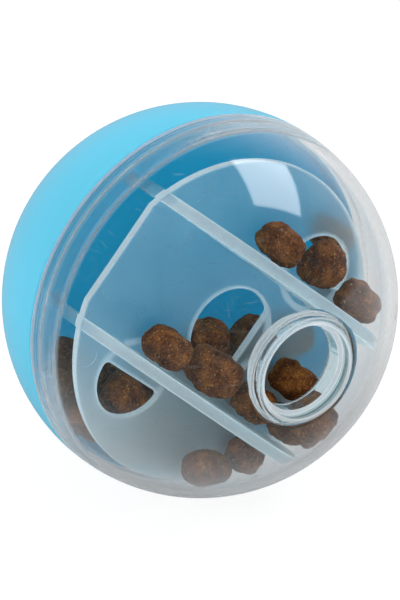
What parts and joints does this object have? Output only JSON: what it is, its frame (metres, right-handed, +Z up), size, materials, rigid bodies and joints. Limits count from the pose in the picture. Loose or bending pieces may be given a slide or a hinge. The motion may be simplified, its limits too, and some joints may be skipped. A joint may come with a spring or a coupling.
{
  "type": "treat ball",
  "caption": "Ball-shaped food toy in two halves: a blue shell and a clear shell with a round mouth, a loose frosted maze insert with walls and holes, and dry treats.",
  "frame": {"origin": "centre of the ball, midway across the flat rims of its two halves", "axes": "-Y points out of the mouth, square to the seam; +Z is up as the ball lies in the picture"},
  "size_m": [0.075, 0.0737, 0.075],
  "materials": {
    "clear_plastic": "clear polished moulding, slightly milky",
    "blue_plastic": "tinted translucent moulding",
    "frosted_plastic": "clear moulding, lightly frosted",
    "treat": "dry, rough, crumbly"
  },
  "bodies": {
    "blue_half": {"blue_half": "blue_plastic", "treat_rear_01": "treat", "treat_rear_02": "treat", "treat_rear_03": "treat", "treat_rear_04": "treat", "treat_rear_05": "treat", "treat_rear_06": "treat", "treat_rear_07": "treat", "treat_rear_08": "treat", "treat_rear_09": "treat", "treat_rear_10": "treat", "treat_rear_11": "treat", "treat_rear_12": "treat", "treat_rear_13": "treat", "treat_rear_14": "treat", "treat_rear_15": "treat", "treat_rear_16": "treat", "treat_rear_17": "treat", "treat_rear_18": "treat", "treat_rear_19": "treat", "treat_rear_20": "treat", "treat_rear_21": "treat", "treat_rear_22": "treat", "treat_rear_23": "treat", "treat_rear_24": "treat", "treat_rear_25": "treat", "treat_rear_26": "treat", "treat_rear_27": "treat"},
    "maze": {"maze": "frosted_plastic", "treat_middle_01": "treat", "treat_middle_02": "treat", "treat_middle_03": "treat", "treat_middle_04": "treat", "treat_middle_05": "treat", "treat_middle_06": "treat", "treat_upper_01": "treat", "treat_upper_02": "treat", "treat_upper_03": "treat"},
    "lower_treats": {"treat_lower_01": "treat", "treat_lower_02": "treat"},
    "clear_half": {"clear_half": "clear_plastic"}
  },
  "joints": [
    {"name": "maze_slide", "type": "slide", "parent": "blue_half", "child": "maze", "axis": [0, -1, 0], "range_m": [0, 0.04]},
    {"name": "clear_half_slide", "type": "slide", "parent": "maze", "child": "lower_treats", "axis": [0, -1, 0], "range_m": [0, 0.05]},
    {"name": "clear_half_twist", "type": "hinge", "parent": "lower_treats", "child": "clear_half", "pos_m": [0, 0, 0], "axis": [0, -1, 0], "continuous": true}
  ]
}
